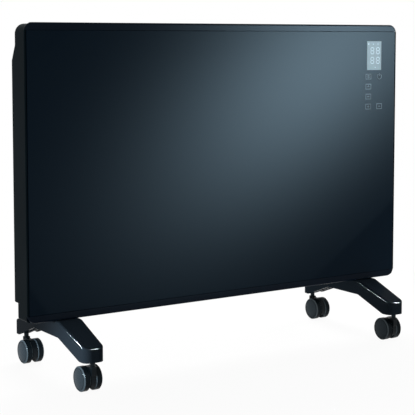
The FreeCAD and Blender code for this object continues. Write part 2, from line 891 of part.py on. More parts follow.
def foot_nuts():
    nuts = []
    for x, y in foot_screw_places():
        seat = Vector(x, y, casing_floor)
        thread = rod(foot_screw_radius + press_clearance, seat, seat + AXIS_Z * foot_nut_height)
        nuts.append(hexagon(foot_nut_across, seat, foot_nut_height).cut(thread))
    return Part.makeCompound(nuts)


def castor_stem(x, y):
    """A stepped steel stem: the shank sits in the foot, the tail carries the hood."""
    shoulder = Vector(x, y, hood_collar_top + seam)
    shank = rod(stem_radius, shoulder, Vector(x, y, foot_bottom + stem_insertion))
    tail = rod(stem_tail_radius, Vector(x, y, stem_tail_low), shoulder)
    return joined([shank, tail])


def castor_hood(x, y, direction):
    """The body between the two wheels: a round web, a neck and a collar under the stem."""
    axle_y = y + direction * castor_trail
    web_x = around(x, hood_width)
    web = rod(hood_radius, Vector(web_x[0], axle_y, wheel_radius), Vector(web_x[1], axle_y, wheel_radius))
    neck_y = sorted((y - direction * hood_neck_front, axle_y))
    neck = block(web_x, neck_y, (hood_neck_low, hood_collar_top))
    front = []
    for edge in edges_along(neck, AXIS_X):
        middle = edge.CenterOfMass
        if abs(middle.y - (y - direction * hood_neck_front)) < tiny and middle.z < hood_neck_low + tiny:
            front.append(edge)
    neck = neck.makeFillet(hood_neck_round, front)
    slot_y = sorted((axle_y, y + direction * hood_collar_radius))
    slot_z = (wheel_radius + hood_radius, hood_collar_top + overrun)
    slot = block(widened(web_x, overrun), slot_y, slot_z)
    collar = rod(hood_collar_radius, Vector(x, y, hood_collar_low), Vector(x, y, hood_collar_top))
    body = joined([web, neck.cut(slot), collar])
    below_y = around(axle_y, 2 * hood_radius + 2 * overrun)
    below = block(widened(web_x, overrun), below_y, (-overrun, hood_floor))
    bore_low = Vector(x, y, stem_tail_low - axle_end_gap)
    bore = rod(stem_tail_radius + running_clearance, bore_low, Vector(x, y, hood_collar_top + overrun))
    axle_start = Vector(web_x[0] - overrun, axle_y, wheel_radius)
    axle_end = Vector(web_x[1] + overrun, axle_y, wheel_radius)
    axle_hole = rod(axle_radius + press_clearance, axle_start, axle_end)
    return body.cut([below, bore, axle_hole])


def castor_axle(x, y, direction):
    axle_y = y + direction * castor_trail
    reach = hood_width / 2 + wheel_side_gap + wheel_bore_depth - axle_end_gap
    start = Vector(x - reach, axle_y, wheel_radius)
    return rod(axle_radius, start, start + AXIS_X * (2 * reach))


def wheel():
    """One castor wheel on the X axis, with its hub side at zero and its domed face to the right."""
    corner = wheel_rim_chamfer
    groove_in = wheel_groove_radius - wheel_groove_width
    sphere = (groove_in ** 2 + wheel_dome ** 2) / (2 * wheel_dome)
    half_sag = sphere - math.sqrt(sphere ** 2 - (groove_in / 2) ** 2)
    crown = wheel_width + wheel_dome
    bore = axle_radius + running_clearance
    outline = (
        (wheel_bore_depth, 0), (wheel_bore_depth, bore), (0, bore), (0, wheel_hub_radius),
        (wheel_recess_depth, wheel_hub_radius), (wheel_recess_depth, wheel_recess_radius),
        (0, wheel_recess_radius), (0, wheel_radius - corner), (corner, wheel_radius),
        (wheel_width - corner, wheel_radius), (wheel_width, wheel_radius - corner),
        (wheel_width, wheel_groove_radius), (wheel_width - wheel_groove_depth, wheel_groove_radius),
        (wheel_width - wheel_groove_depth, groove_in), (wheel_width, groove_in),
    )
    points = [Vector(out, 0, radius) for out, radius in outline]
    top = Vector(crown, 0, 0)
    dome = Part.Arc(points[-1], Vector(crown - half_sag, 0, groove_in / 2), top).toShape()
    edges = Part.makePolygon(points).Edges + [dome, Part.makeLine(top, points[0])]
    profile = Part.Face(Part.Wire(edges))
    return profile.revolve(Vector(0, 0, 0), AXIS_X, 360)


def placed_wheel(x, y, direction, side):
    """A wheel on the right (side 1) or left (side -1) of a castor's hood."""
    turned = wheel() if side > 0 else wheel().mirror(Vector(0, 0, 0), AXIS_X)
    offset = side * (hood_width / 2 + wheel_side_gap)
    turned.translate(Vector(x + offset, y + direction * castor_trail, wheel_radius))
    return turned


def castors():
    """The pieces of all four castors by name; front ones trail backwards, rear ones forwards."""
    pieces = {}
    for end, y, direction in (("front", -stem_y, 1), ("rear", stem_y, -1)):
        for side, x, outward in (("left", -foot_x, -1), ("right", foot_x, 1)):
            place = end + "_" + side
            pieces["castor_stem_" + place] = castor_stem(x, y)
            pieces["castor_hood_" + place] = castor_hood(x, y, direction)
            pieces["castor_axle_" + place] = castor_axle(x, y, direction)
            pieces["wheel_" + place + "_outer"] = placed_wheel(x, y, direction, outward)
            pieces["wheel_" + place + "_inner"] = placed_wheel(x, y, direction, -outward)
    return pieces


def heater():
    """Every piece of the heater by its name."""
    pieces = {
        "glass_panel": glass_panel(),
        "glass_tape": glass_tape(),
        "top_rail": top_rail(),
        "bottom_rail": bottom_rail(),
        "casing": casing(),
        "rear_cover": rear_cover(),
        "cover_screws": cover_screws(),
        "heating_element": heating_element(),
        "element_core": element_core(),
        "element_bracket_left": element_bracket(-1),
        "element_bracket_right": element_bracket(1),
        "heat_shield": heat_shield(),
        "divider_wall": divider_wall(),
        "thermal_cutout": thermal_cutout(),
        "display_module": display_module(),
        "touch_pads": touch_pads(),
        "control_board": control_board(),
        "control_posts": control_posts(),
        "control_cover": control_cover(),
        "power_board": power_board(),
        "power_posts": power_posts(),
        "tip_over_switch": tip_over_switch(),
        "room_sensor": room_sensor(),
        "terminal_block": terminal_block(),
        "cable_gland": cable_gland(),
        "gland_nut": gland_nut(),
        "switch_housing": switch_housing(),
        "power_rocker": power_rocker(),
        "foot_left": foot(-foot_x),
        "foot_right": foot(foot_x),
        "foot_screws": foot_screws(),
        "foot_nuts": foot_nuts(),
    }
    pieces.update(castors())
    return pieces


os.makedirs("parts", exist_ok=True)
for name, shape in heater().items():
    shape.exportStep("parts/" + name + ".step")
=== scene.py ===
import json
import math
import bmesh
import bpy
from mathutils import Matrix, Vector


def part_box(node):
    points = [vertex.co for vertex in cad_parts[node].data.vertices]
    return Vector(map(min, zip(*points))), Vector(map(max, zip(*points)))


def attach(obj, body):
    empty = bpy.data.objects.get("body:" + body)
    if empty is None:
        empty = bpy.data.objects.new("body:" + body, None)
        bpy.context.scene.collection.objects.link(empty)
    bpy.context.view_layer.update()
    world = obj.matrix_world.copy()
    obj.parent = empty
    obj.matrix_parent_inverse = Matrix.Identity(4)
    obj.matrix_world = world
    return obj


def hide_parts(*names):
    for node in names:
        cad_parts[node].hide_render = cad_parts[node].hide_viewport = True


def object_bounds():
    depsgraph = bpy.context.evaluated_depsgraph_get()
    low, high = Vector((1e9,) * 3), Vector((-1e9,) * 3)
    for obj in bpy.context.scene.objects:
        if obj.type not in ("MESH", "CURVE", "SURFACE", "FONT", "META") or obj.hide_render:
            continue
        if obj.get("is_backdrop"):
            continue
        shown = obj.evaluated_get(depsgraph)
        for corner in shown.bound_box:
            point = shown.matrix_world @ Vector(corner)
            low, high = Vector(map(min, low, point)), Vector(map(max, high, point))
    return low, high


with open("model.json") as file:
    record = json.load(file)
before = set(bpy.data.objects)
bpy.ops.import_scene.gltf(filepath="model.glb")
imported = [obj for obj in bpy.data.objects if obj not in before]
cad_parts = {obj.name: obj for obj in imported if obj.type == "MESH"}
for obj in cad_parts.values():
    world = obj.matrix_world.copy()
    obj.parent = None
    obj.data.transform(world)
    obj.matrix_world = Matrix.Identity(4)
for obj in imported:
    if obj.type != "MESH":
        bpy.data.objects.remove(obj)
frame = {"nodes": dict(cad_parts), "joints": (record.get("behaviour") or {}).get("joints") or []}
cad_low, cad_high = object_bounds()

# Glass front: a 4 mm pane of toughened float glass, printed black on its back and bonded to the casing.
# Fire polish leaves it smooth, and toughening on rollers leaves long faint waves in what it mirrors.
MM = 0.001
PANE_IOR = 1.10
SMEAR_SIZE = 60 * MM
WAVE_LENGTH = 180 * MM
WAVE_DEPTH = 0.4 * MM


def linear(code):
    """Linear colour of an sRGB hex value."""
    parts = [int(code[i:i + 2], 16) / 255 for i in (0, 2, 4)]
    return [c / 12.92 if c <= 0.04045 else ((c + 0.055) / 1.055) ** 2.4 for c in parts] + [1.0]


def add(tree, kind, settings, values, links):
    """Adds a node with its settings, its socket values and the links into it."""
    node = tree.nodes.new(kind)
    for name, value in settings.items():
        setattr(node, name, value)
    for name, value in values.items():
        node.inputs[name].default_value = value
    for name, source in links.items():
        tree.links.new(source, node.inputs[name])
    return node


def surface(name, values):
    """A new material with constant shader values; gives it, its tree, its shader and its place socket."""
    material = bpy.data.materials.new(name)
    material.use_nodes = True
    tree = material.node_tree
    shader = tree.nodes["Principled BSDF"]
    for socket, value in values.items():
        shader.inputs[socket].default_value = value
    place = add(tree, "ShaderNodeTexCoord", {}, {}, {}).outputs["Object"]
    return material, tree, shader, place


def dress(material, *names):
    """Gives CAD nodes a material."""
    for name in names:
        for slot in frame["nodes"][name].material_slots:
            slot.material = material


# Toughened glass over black print gives a deep blue-black mirror, dulled a little in patches by wiping.
# Its index is below that of real glass, so that the white surround doesn't veil the black.
black_glass, tree, shader, place = surface(
    "toughened_float_glass_black_print", {"Base Color": linear("081B29"), "IOR": PANE_IOR})
smear = add(tree, "ShaderNodeTexNoise", {}, {"Scale": 1 / SMEAR_SIZE, "Detail": 3.0}, {"Vector": place})
gloss = add(tree, "ShaderNodeMapRange", {}, {"To Min": 0.05, "To Max": 0.08}, {"Value": smear.outputs["Fac"]})
tree.links.new(gloss.outputs["Result"], shader.inputs["Roughness"])
wave = add(tree, "ShaderNodeTexNoise", {}, {"Scale": 1 / WAVE_LENGTH, "Detail": 0.0}, {"Vector": place})
wave_relief = {"Strength": 0.05, "Distance": WAVE_DEPTH}
ripple = add(tree, "ShaderNodeBump", {}, wave_relief, {"Height": wave.outputs["Fac"]})
tree.links.new(ripple.outputs["Normal"], shader.inputs["Normal"])
dress(black_glass, "glass_panel")

# Bonding tape: strips of black closed-cell foam, sticky on both faces, between the glass and the casing.
# It shows only as a dark line at the sides.
CELL_SIZE = 1.2 * MM
CELL_DEPTH = 0.2 * MM

# Cut cells leave open pores that swallow the light. They are drawn coarser than real, so that they show.
foam, tree, shader, place = surface(
    "closed_cell_foam_black", {"Base Color": linear("0B0C0D"), "Roughness": 0.9, "Specular IOR Level": 0.1})
cells = add(tree, "ShaderNodeTexVoronoi", {}, {"Scale": 1 / CELL_SIZE}, {"Vector": place})
cell_relief = {"Strength": 0.4, "Distance": CELL_DEPTH}
pores = add(tree, "ShaderNodeBump", {}, cell_relief, {"Height": cells.outputs["Distance"]})
tree.links.new(pores.outputs["Normal"], shader.inputs["Normal"])
dress(foam, "glass_tape")

# Trim rails: aluminium strips above and below the glass, rolled at the edge and sprayed satin black.
# The spray levels almost flat, so the rails carry the same soft sheen as the glass, only a little duller.
SPRAY_GRAIN = 2.0 * MM
SPRAY_DEPTH = 0.1 * MM


def grained(name, values, size, detail, tones=None, gloss=None, relief=None):
    """A material with one grain of a real size, which may shift its tone, its gloss and its relief."""
    material, tree, shader, place = surface(name, values)
    grain = add(tree, "ShaderNodeTexNoise", {}, {"Scale": 1 / size, "Detail": detail}, {"Vector": place})
    height = grain.outputs["Fac"]
    if tones:
        tone = add(tree, "ShaderNodeValToRGB", {}, {}, {"Fac": height})
        for end, code in zip(tone.color_ramp.elements, tones):
            end.color = linear(code)
        tree.links.new(tone.outputs["Color"], shader.inputs["Base Color"])
    if gloss:
        smooth, rough = gloss
        shine = add(tree, "ShaderNodeMapRange", {}, {"To Min": smooth, "To Max": rough}, {"Value": height})
        tree.links.new(shine.outputs["Result"], shader.inputs["Roughness"])
    if relief:
        strength, depth = relief
        bump = add(tree, "ShaderNodeBump", {}, {"Strength": strength, "Distance": depth}, {"Height": height})
        tree.links.new(bump.outputs["Normal"], shader.inputs["Normal"])
    return material


# Sprayed paint on aluminium looks nearly as deep as the glass, with a faint peel that blurs what it mirrors.
# The grain is drawn coarser than real, so that it shows.
satin_black = grained("aluminium_sprayed_satin_black", {"Base Color": linear("101B28"), "IOR": PANE_IOR},
                      SPRAY_GRAIN, detail=4.0, gloss=(0.08, 0.14), relief=(0.03, SPRAY_DEPTH))
dress(satin_black, "top_rail", "bottom_rail")

# Casing and rear cover: folded and pressed steel sheet with a baked black powder coat.
# The cover is screwed to the casing's flange and closes the works in from behind.
PEEL_SIZE = 1.4 * MM
PEEL_DEPTH = 0.15 * MM
CLOUD_SIZE = 90 * MM

# The powder melts into a fine orange peel that breaks up its sheen, and baking leaves it faintly cloudy.
powder, tree, shader, place = surface("steel_powder_coat_black_semigloss", {"Specular IOR Level": 0.01})
cloud = add(tree, "ShaderNodeTexNoise", {}, {"Scale": 1 / CLOUD_SIZE, "Detail": 2.0}, {"Vector": place})
tone = add(tree, "ShaderNodeValToRGB", {}, {}, {"Fac": cloud.outputs["Fac"]})
for end, position, code in zip(tone.color_ramp.elements, (0.3, 0.7), ("101C22", "142026")):
    end.position = position
    end.color = linear(code)
tree.links.new(tone.outputs["Color"], shader.inputs["Base Color"])
peel = add(tree, "ShaderNodeTexNoise", {}, {"Scale": 1 / PEEL_SIZE, "Detail": 2.0}, {"Vector": place})
gloss = add(tree, "ShaderNodeMapRange", {}, {"To Min": 0.34, "To Max": 0.48}, {"Value": peel.outputs["Fac"]})
tree.links.new(gloss.outputs["Result"], shader.inputs["Roughness"])
peel_relief = {"Strength": 0.16, "Distance": PEEL_DEPTH}
skin = add(tree, "ShaderNodeBump", {}, peel_relief, {"Height": peel.outputs["Fac"]})
tree.links.new(skin.outputs["Normal"], shader.inputs["Normal"])
dress(powder, "casing", "rear_cover")

# Cover screws: eight blackened steel screws with pan heads, which hold the cover to the casing's flange.
# They are cold-headed: a shank, a domed head, and a cross recess that narrows towards its floor.
PLAIN_HEAD_HEIGHT = 1.8 * MM
HEAD_RADIUS = 4.0 * MM
HEAD_HEIGHT = 2.0 * MM
HEAD_SEGMENTS = 40
EDGE_SHARE = 0.35
CROWN_SHARE = 0.62
DOME_SHARES = (0.25, 0.5, 0.7, 0.85, 0.95, 1.0)
RECESS_ARM = 2.3 * MM
RECESS_WIDTH = 1.0 * MM
RECESS_DEPTH = 1.2 * MM
RECESS_TAPER_SHARE = 0.6
SHANK_RADIUS = 2.0 * MM
SHANK_LENGTH = 9.0 * MM
SCREW_SHARES = (-0.9, -0.3, 0.3, 0.9)
OXIDE_PATCH = 1.0 * MM

# Blackening leaves a thin oxide, faintly brown in patches, which are drawn coarser than real, to show.
black_oxide = grained("steel_black_oxide", {"Metallic": 1.0}, OXIDE_PATCH, detail=3.0,
                      tones=("2A2826", "45474A"), gloss=(0.28, 0.5))


def mesh_piece(name, work, material, body):
    """Turns finished mesh work into a piece that rides on a body."""
    bmesh.ops.recalc_face_normals(work, faces=work.faces)
    mesh = bpy.data.meshes.new(name)
    work.to_mesh(mesh)
    work.free()
    mesh.materials.append(material)
    piece = bpy.data.objects.new(name, mesh)
    bpy.context.scene.collection.objects.link(piece)
    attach(piece, body)
    return piece


def ring(work, radius, y, centre):
    """A ring of points round the Y axis through a centre."""
    turns = [2 * math.pi * k / HEAD_SEGMENTS for k in range(HEAD_SEGMENTS)]
    points = [(centre.x + radius * math.cos(t), y, centre.y + radius * math.sin(t)) for t in turns]
    return [work.verts.new(point) for point in points]


def bridge(work, first, second):
    """Faces between two loops of the same count."""
    count = len(first)
    for k in range(count):
        work.faces.new((first[k], first[(k + 1) % count], second[(k + 1) % count], second[k]))


def loop_edges(work, points):
    """The edges of a closed loop of points."""
    return [work.edges.get((points[k - 1], points[k])) for k in range(len(points))]


low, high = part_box("cover_screws")
seat_y = high[1] - PLAIN_HEAD_HEIGHT
crown_y = seat_y + HEAD_HEIGHT
head_profile = [(SHANK_RADIUS, seat_y - SHANK_LENGTH), (SHANK_RADIUS, seat_y), (HEAD_RADIUS, seat_y)]
for share in DOME_SHARES:
    radius = HEAD_RADIUS * (CROWN_SHARE + (1 - CROWN_SHARE) * math.sqrt(1 - share ** 2))
    head_profile.append((radius, seat_y + HEAD_HEIGHT * (EDGE_SHARE + (1 - EDGE_SHARE) * share)))
half_arm = RECESS_WIDTH / 2
cross_arm = [Vector((RECESS_ARM, half_arm)), Vector((half_arm, half_arm)), Vector((half_arm, RECESS_ARM))]
quarters = [Matrix.Rotation(math.radians(90 * quarter), 2) for quarter in range(4)]
cross = [quarter @ point for quarter in quarters for point in cross_arm]
screw_heads = bmesh.new()
for share in SCREW_SHARES:
    for z in (low[2] + HEAD_RADIUS, high[2] - HEAD_RADIUS):
        centre = Vector((share * cad_high[0], z))
        rings = [ring(screw_heads, radius, y, centre) for radius, y in head_profile]
        for first, second in zip(rings, rings[1:]):
            bridge(screw_heads, first, second)
        screw_heads.faces.new(list(reversed(rings[0])))
        mouth_points = [centre + point for point in cross]
        mouth = [screw_heads.verts.new((p.x, crown_y, p.y)) for p in mouth_points]
        deep_points = [centre + point * RECESS_TAPER_SHARE for point in cross]
        deep = [screw_heads.verts.new((p.x, crown_y - RECESS_DEPTH, p.y)) for p in deep_points]
        bridge(screw_heads, mouth, deep)
        screw_heads.faces.new(deep)
        edges = loop_edges(screw_heads, mouth) + loop_edges(screw_heads, rings[-1])
        bmesh.ops.triangle_fill(screw_heads, edges=edges, use_beauty=True)
cover_screws = mesh_piece("cover_screw_set", screw_heads, black_oxide, "heater")
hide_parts("cover_screws")

# Feet: two injection-moulded ABS arches that run front to back, screwed up into the casing from below.
# The mould is spark-eroded, and the plastic takes a very fine grain from it.
MOULD_GRAIN = 1.1 * MM
MOULD_DEPTH = 0.1 * MM

# Moulded black ABS keeps a dark, even skin, and its rounded rims catch thin bright lines.
# The grain is drawn coarser than real, so that it shows.
moulded = grained("moulded_abs_black_fine_grain", {"Specular IOR Level": 0.005}, MOULD_GRAIN, detail=3.0,
                  tones=("192128", "212A32"), gloss=(0.08, 0.12), relief=(0.05, MOULD_DEPTH))
dress(moulded, "foot_left", "foot_right")

# Castors: twin wheels on a hood, all moulded in black nylon, with an axle and a stem of steel drawn dark, as
# painted shade.
# The stem is pressed into the foot, and the wheels turn on the axle's two ends.
NYLON_GRAIN = 0.9 * MM
NYLON_DEPTH = 0.1 * MM
PLATING_GRAIN = 1.5 * MM
TREAD_TONES = ("12191D", "192226")
FACE_TONES = ("313A3F", "3B454B")
# The rim tone and its band below paint a highlight round each wheel's rim.
RIM_HIGHLIGHT_TONE = "6A767C"
RIM_HIGHLIGHT_SHARE = 0.7
RIM_HIGHLIGHT_BAND = ((0.4, 0.0), (0.6, RIM_HIGHLIGHT_SHARE), (0.88, RIM_HIGHLIGHT_SHARE), (0.97, 0.0))

# The wheels are duller than the feet. Their flat faces take a lighter grey than the black tread, which is
# painted light, and a pale band round each rim is a painted highlight. The tread stays black. The part of the
# wheel is told by how squarely the surface faces along the axle.
nylon, tree, shader, place = surface("moulded_nylon_face_with_black_tread", {"Specular IOR Level": 0.04})
grain = add(tree, "ShaderNodeTexNoise", {}, {"Scale": 1 / NYLON_GRAIN, "Detail": 4.0}, {"Vector": place})
facing = add(tree, "ShaderNodeTexCoord", {}, {}, {}).outputs["Normal"]
sideways = add(tree, "ShaderNodeSeparateXYZ", {}, {}, {"Vector": facing})
square = add(tree, "ShaderNodeMath", {"operation": "ABSOLUTE"}, {}, {0: sideways.outputs["X"]})
face_range = {"From Min": 0.93, "From Max": 0.99}
face = add(tree, "ShaderNodeMapRange", {}, face_range, {"Value": square.outputs["Value"]})
# The lighter tone on the faces is painted light; the darker tone is the tread's own black.
tones = []
for codes in (TREAD_TONES, FACE_TONES):
    tone = add(tree, "ShaderNodeValToRGB", {}, {}, {"Fac": grain.outputs["Fac"]})
    for end, code in zip(tone.color_ramp.elements, codes):
        end.color = linear(code)
    tones.append(tone.outputs["Color"])
links = {"Fac": face.outputs["Result"], "Color1": tones[0], "Color2": tones[1]}
both = add(tree, "ShaderNodeMixRGB", {}, {}, links)
# A pale band where the face turns into the tread: a painted highlight.
rim_highlight_mask = add(tree, "ShaderNodeValToRGB", {}, {}, {"Fac": square.outputs["Value"]})
rim_highlight_mask.color_ramp.elements.remove(rim_highlight_mask.color_ramp.elements[0])
rim_highlight_mask.color_ramp.elements[0].color = (0.0, 0.0, 0.0, 1.0)
for position, highlight_share in RIM_HIGHLIGHT_BAND:
    rim_highlight_mask.color_ramp.elements.new(position).color = (highlight_share, highlight_share, highlight_share, 1.0)
links = {"Fac": rim_highlight_mask.outputs["Color"], "Color1": both.outputs["Color"]}
rim_highlighted = add(tree, "ShaderNodeMixRGB", {}, {"Color2": linear(RIM_HIGHLIGHT_TONE)}, links)
tree.links.new(rim_highlighted.outputs["Color"], shader.inputs["Base Color"])
gloss = add(tree, "ShaderNodeMapRange", {}, {"To Min": 0.22, "To Max": 0.32}, {"Value": grain.outputs["Fac"]})
tree.links.new(gloss.outputs["Result"], shader.inputs["Roughness"])
nylon_relief = {"Strength": 0.1, "Distance": NYLON_DEPTH}
skin = add(tree, "ShaderNodeBump", {}, nylon_relief, {"Height": grain.outputs["Fac"]})
tree.links.new(skin.outputs["Normal"], shader.inputs["Normal"])

# The hood's nylon is blacker than the wheels' painted faces, with the soft blurred sheen of the mould.
hood_nylon = grained("moulded_nylon_black_hood", {"Specular IOR Level": 0.1}, NYLON_GRAIN, detail=4.0,
                     tones=("0D1215", "182024"), gloss=(0.34, 0.5))

# Dark metal with uneven gloss, drawn in coarser patches than real; its darkness is painted shade under the
# feet.
shade_dark_zinc = grained("steel_zinc_dark_painted_shade", {"Base Color": linear("1C2124"), "Metallic": 1.0},
                     PLATING_GRAIN, detail=3.0, gloss=(0.22, 0.38))
for end in ("front", "rear"):
    for side in ("left", "right"):
        castor = end + "_" + side
        dress(nylon, "wheel_" + castor + "_outer", "wheel_" + castor + "_inner")
        dress(hood_nylon, "castor_hood_" + castor)
        dress(shade_dark_zinc, "castor_stem_" + castor, "castor_axle_" + castor)

# Foot screws and nuts: zinc-plated steel, which hold each foot to the casing from below.
# The screw heads show under the feet and take the dark metal, painted shade; the nuts inside are plain bright
# zinc.
# Bright zinc is a grey metal whose crystals make its gloss uneven.
zinc = grained("steel_zinc_plated_bright", {"Base Color": linear("474E52"), "Metallic": 1.0},
               PLATING_GRAIN, detail=3.0, gloss=(0.22, 0.38))
dress(shade_dark_zinc, "foot_screws")
dress(zinc, "foot_nuts")

# Display: a grey segment display behind a clear window in the black print, with two rows of two figures.
# Its pale field is the reflecting film behind the crystal, and the lit figures are a little lighter still.
GLASS_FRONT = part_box("glass_panel")[0][1]
PRINT_GLOSS = 0.08
PRINT_RISE = 0.10 * MM
FIGURE_RISE = 0.14 * MM
PRINT_ROOT = 0.05 * MM
DISPLAY_WIDTH = 34 * MM
DISPLAY_HEIGHT = 53 * MM
DISPLAY_ROUND = 0.8 * MM
DISPLAY_GLOW = 0.45
FIELD_CLOUD = 9 * MM
SEGMENT_CLOUD = 4 * MM
CORNER_STEPS = 4
FIGURE_WIDTH = 8.6 * MM
FIGURE_HEIGHT = 13.0 * MM
FIGURE_ROWS = (9.0 * MM, -8.7 * MM)
FIGURE_COLUMNS = (-4.6 * MM, 8.8 * MM)
STROKE = 1.7 * MM
STROKE_GAP = 0.25 * MM
SIGNS = ((-13.6, 21.3, 3.0), (-2.4, 21.0, 2.2), (8.8, 21.4, 2.0), (2.6, -21.6, 2.2))
SIGN_ROUND_SHARE = 0.45
low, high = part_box("display_module")
display_x, display_z = (low[0] + high[0]) / 2, (low[2] + high[2]) / 2


def display_film(name, cloud_size, codes):
    """A backlit film: its slightly cloudy tone is both its colour and its glow."""
    values = {"Roughness": PRINT_GLOSS, "IOR": PANE_IOR, "Emission Strength": DISPLAY_GLOW}
    material, tree, shader, place = surface(name, values)
    cloud = add(tree, "ShaderNodeTexNoise", {}, {"Scale": 1 / cloud_size, "Detail": 2.0}, {"Vector": place})
    tone = add(tree, "ShaderNodeValToRGB", {}, {}, {"Fac": cloud.outputs["Fac"]})
    for end, code in zip(tone.color_ramp.elements, codes):
        end.color = linear(code)
    tree.links.new(tone.outputs["Color"], shader.inputs["Base Color"])
    tree.links.new(tone.outputs["Color"], shader.inputs["Emission Color"])
    return material


def flat_shape(work, outline, rise):
    """A thin printed shape on the glass: its face, and a skirt down into the glass."""
    face = [work.verts.new((x, GLASS_FRONT - rise, z)) for x, z in outline]
    root = [work.verts.new((x, GLASS_FRONT + PRINT_ROOT, z)) for x, z in outline]
    work.faces.new(face)
    bridge(work, face, root)
    work.faces.new(list(reversed(root)))


def rounded_outline(x, z, width, height, radius):
    """Points of a rectangle with rounded corners, about its centre."""
    points = []
    for corner, (sx, sz) in enumerate(((1, 1), (-1, 1), (-1, -1), (1, -1))):
        for step in range(CORNER_STEPS + 1):
            turn = math.radians(90 * (corner + step / CORNER_STEPS))
            points.append((x + sx * (width / 2 - radius) + radius * math.cos(turn),
                           z + sz * (height / 2 - radius) + radius * math.sin(turn)))
    return points


def bar(work, start, end):
    """One segment: a bar with pointed ends between two corners of a figure."""
    along = (end - start).normalized()
    across = Vector((-along.y, along.x)) * (STROKE / 2)
    tip = along * (STROKE / 2)
    start, end = start + along * STROKE_GAP, end - along * STROKE_GAP
    points = [start, start + tip - across, end - tip - across, end, end - tip + across, start + tip + across]
    flat_shape(work, [(p.x, p.y) for p in points], FIGURE_RISE)


# The reflecting film gives a flat blue-grey field, a little uneven where the light behind it is.
lcd_film = display_film("segment_display_reflecting_film", FIELD_CLOUD, ("8A9EA6", "98ABB3"))
window = bmesh.new()
window_outline = rounded_outline(display_x, display_z, DISPLAY_WIDTH, DISPLAY_HEIGHT, DISPLAY_ROUND)
flat_shape(window, window_outline, PRINT_RISE)
mesh_piece("display_window", window, lcd_film, "heater")
dress(lcd_film, "display_module")

# A lit segment lets the same light through, so it is paler than the field and as even.
lit_segment = display_film("segment_display_lit_figure", SEGMENT_CLOUD, ("BCCED5", "CCDBE0"))
figures = bmesh.new()
half_w, half_h = (FIGURE_WIDTH - STROKE) / 2, (FIGURE_HEIGHT - STROKE) / 2
for row_z in (display_z + row for row in FIGURE_ROWS):
    for column_x in (display_x + column for column in FIGURE_COLUMNS):
        left, right = column_x - half_w, column_x + half_w
        for z in (row_z + half_h, row_z, row_z - half_h):
            bar(figures, Vector((left, z)), Vector((right, z)))
        for x in (left, right):
            for z in (row_z, row_z - half_h):
                bar(figures, Vector((x, z)), Vector((x, z + half_h)))
for x, z, size in SIGNS:
    sign_x, sign_z, width = display_x + x * MM, display_z + z * MM, size * MM
    flat_shape(figures, rounded_outline(sign_x, sign_z, width, width, SIGN_ROUND_SHARE * width), FIGURE_RISE)
mesh_piece("display_figures", figures, lit_segment, "heater")

# Touch keys: six outlined symbols silk-screened in grey ink behind the glass, each over its sensing pad.
# Five have a frame with a plain mark in it, and the sixth is the ring and stroke of an on and off key.
KEY_WIDTH = 13.4 * MM
KEY_HEIGHT = 10.4 * MM
KEY_LINE = 1.3 * MM
KEY_APART = 13.3 * MM
KEY_DROP = 38.5 * MM
KEY_PITCH = 18.4 * MM
KEY_COLUMNS = (display_x - KEY_APART, display_x + KEY_APART)
KEY_ROWS = [display_z - KEY_DROP - row * KEY_PITCH for row in range(4)]
FRAMED_KEYS = ((0, 0), (0, 1), (0, 2), (0, 3), (1, 3))
DASH_HALF = Vector((2.6 * MM, 0.0))
PLUS_HALF = Vector((0.0, 2.4 * MM))
LINE_EDGE = Vector((0.0, KEY_LINE / 2))
LINE_PITCH = Vector((0.0, 2.2 * MM))
HAND_TIP = Vector((0.0, 3.0 * MM))
POWER_RADIUS = 4.8 * MM
POWER_START = math.radians(120)
POWER_END = math.radians(420)
POWER_LOW = Vector((0.0, 1.0 * MM))
POWER_HIGH = Vector((0.0, 6.0 * MM))
POWER_STEPS = 24
INK_SPECK = 1.2 * MM

# Screened ink is slightly uneven and has the gloss of the glass over it.
# Its specks are drawn coarser than real, so that they show.
ink = grained("silk_screen_ink_grey", {"Roughness": PRINT_GLOSS, "IOR": PANE_IOR}, INK_SPECK, detail=3.0,
              tones=("7C8C94", "8E9EA6"))


def stroke_line(work, start, end):
    """A straight printed line between two points."""
    along = (end - start).normalized()
    across = Vector((-along.y, along.x)) * (KEY_LINE / 2)
    points = [start - across, end - across, end + across, start + across]
    flat_shape(work, [(p.x, p.y) for p in points], PRINT_RISE)


def printed_arc(work, centre, radius, first_turn, last_turn):
    """A printed arc, drawn as a band from one angle to another."""
    turns = [first_turn + (last_turn - first_turn) * k / POWER_STEPS for k in range(POWER_STEPS + 1)]
    outer, inner = radius + KEY_LINE / 2, radius - KEY_LINE / 2
    rim = [(centre.x + outer * math.cos(t), centre.y + outer * math.sin(t)) for t in turns]
    hole = [(centre.x + inner * math.cos(t), centre.y + inner * math.sin(t)) for t in reversed(turns)]
    flat_shape(work, rim + hole, PRINT_RISE)


def frame_key(work, centre):
    """The four sides of a key's printed frame."""
    half_w, half_h = (KEY_WIDTH - KEY_LINE) / 2, (KEY_HEIGHT - KEY_LINE) / 2
    level = Vector((KEY_WIDTH / 2, 0.0))
    upright = Vector((0.0, half_h)) - LINE_EDGE
    for sign in (-1, 1):
        edge = centre + Vector((0.0, sign * half_h))
        stroke_line(work, edge - level, edge + level)
        side = centre + Vector((sign * half_w, 0.0))
        stroke_line(work, side - upright, side + upright)


